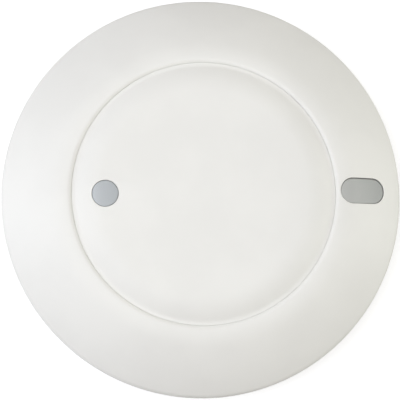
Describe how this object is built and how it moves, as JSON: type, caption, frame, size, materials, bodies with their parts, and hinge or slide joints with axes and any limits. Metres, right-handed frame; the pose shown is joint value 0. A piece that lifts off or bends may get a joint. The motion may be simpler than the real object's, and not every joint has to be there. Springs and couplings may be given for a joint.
{
  "type": "presence detector",
  "caption": "Round surface-mount ceiling presence detector with a flush front disc, a pull-off trim ring, a light window and an obround test key.",
  "frame": {"origin": "centre of the back of the ceiling plate, on the ceiling plane", "axes": "+Z out of the front face into the room, +X towards the test key on the ring, round light window at -X"},
  "size_m": [0.124, 0.124, 0.024],
  "materials": {
    "white_shell": "satin, finely textured",
    "housing_white": "plain moulded",
    "smoked_window": "smooth, translucent grey",
    "key_grey": "smooth, warm grey",
    "terminal_grey": "plain moulded",
    "release_orange": "plain moulded",
    "spring_steel": "rolled strip",
    "contact_bronze": "rolled strip",
    "solder": "smooth tin",
    "circuit_board": "green solder mask",
    "radar_laminate": "dark solder mask",
    "antenna_gold": "gold plate",
    "moulded_black": "moulded",
    "ferrite": "sintered",
    "winding_tape": "polyester tape",
    "film_case": "moulded box",
    "varistor_coat": "dipped coat",
    "fuse_ceramic": "fired body",
    "capacitor_sleeve": "shrunk sleeve",
    "can_aluminium": "drawn can",
    "shield_steel": "tinned sheet",
    "screw_steel": "zinc plated",
    "sensor_clear": "clear resin",
    "switch_grey": "moulded",
    "dial_white": "moulded"
  },
  "bodies": {
    "base": {"ceiling_plate": "housing_white", "terminal_block": "terminal_grey", "clamp_springs": "spring_steel", "contact_springs": "contact_bronze"},
    "release_1": {"release_button_1": "release_orange"},
    "release_2": {"release_button_2": "release_orange"},
    "release_3": {"release_button_3": "release_orange"},
    "release_4": {"release_button_4": "release_orange"},
    "head": {"head_chassis": "housing_white", "contact_rails": "contact_bronze", "solder_joints": "solder", "main_board": "circuit_board", "board_screws": "screw_steel", "radar_board": "radar_laminate", "radar_headers": "moulded_black", "antenna_patches": "antenna_gold", "radar_chip": "moulded_black", "output_relay": "moulded_black", "transformer_core": "ferrite", "transformer_coil": "winding_tape", "film_capacitor": "film_case", "surge_varistor": "varistor_coat", "mains_fuse": "fuse_ceramic", "mains_capacitor": "capacitor_sleeve", "filter_choke": "ferrite", "capacitor_cans": "can_aluminium", "capacitor_feet": "moulded_black", "power_coil": "moulded_black", "controller_chip": "moulded_black", "radio_board": "radar_laminate", "radio_can": "shield_steel", "power_shield": "shield_steel", "small_parts": "fuse_ceramic", "light_sensor": "sensor_clear", "light_shroud": "moulded_black", "light_window": "smoked_window", "status_lights": "sensor_clear", "switch_body": "switch_grey", "trimmer_bodies": "switch_grey", "front_cover": "white_shell", "cover_screws": "screw_steel"},
    "plunger": {"switch_plunger": "dial_white"},
    "delay_dial": {"delay_dial": "dial_white"},
    "light_dial": {"light_dial": "dial_white"},
    "range_dial": {"range_dial": "dial_white"},
    "ring": {"trim_ring": "white_shell"},
    "key": {"test_key": "key_grey"}
  },
  "joints": [
    {"name": "head_twist", "type": "hinge", "parent": "base", "child": "head", "pos_m": [0, 0, 0.0065], "axis": [0, 0, 1], "range_deg": [0, 20]},
    {"name": "ring_pull", "type": "slide", "parent": "head", "child": "ring", "axis": [0, 0, 1], "range_m": [0, 0.03]},
    {"name": "key_press", "type": "slide", "parent": "ring", "child": "key", "axis": [0, 0, -1], "range_m": [0, 0.0004], "stiffness_N_per_m": 800},
    {"name": "plunger_press", "type": "slide", "parent": "head", "child": "plunger", "axis": [0, 0, -1], "range_m": [0, 0.0004]},
    {"name": "delay_turn", "type": "hinge", "parent": "head", "child": "delay_dial", "pos_m": [-0.03724, 0.0215, 0.016], "axis": [0, 0, 1], "range_deg": [-120, 120]},
    {"name": "light_turn", "type": "hinge", "parent": "head", "child": "light_dial", "pos_m": [-0.043, 0, 0.016], "axis": [0, 0, 1], "range_deg": [-120, 120]},
    {"name": "range_turn", "type": "hinge", "parent": "head", "child": "range_dial", "pos_m": [-0.03724, -0.0215, 0.016], "axis": [0, 0, 1], "range_deg": [-120, 120]},
    {"name": "release_press_1", "type": "slide", "parent": "base", "child": "release_1", "axis": [0, 0, -1], "range_m": [0, 0.0008], "stiffness_N_per_m": 800},
    {"name": "release_press_2", "type": "slide", "parent": "base", "child": "release_2", "axis": [0, 0, -1], "range_m": [0, 0.0008], "stiffness_N_per_m": 800},
    {"name": "release_press_3", "type": "slide", "parent": "base", "child": "release_3", "axis": [0, 0, -1], "range_m": [0, 0.0008], "stiffness_N_per_m": 800},
    {"name": "release_press_4", "type": "slide", "parent": "base", "child": "release_4", "axis": [0, 0, -1], "range_m": [0, 0.0008], "stiffness_N_per_m": 800}
  ],
  "couplings": [
    {"joint": "plunger_press", "follows": "key_press", "ratio": 1}
  ]
}
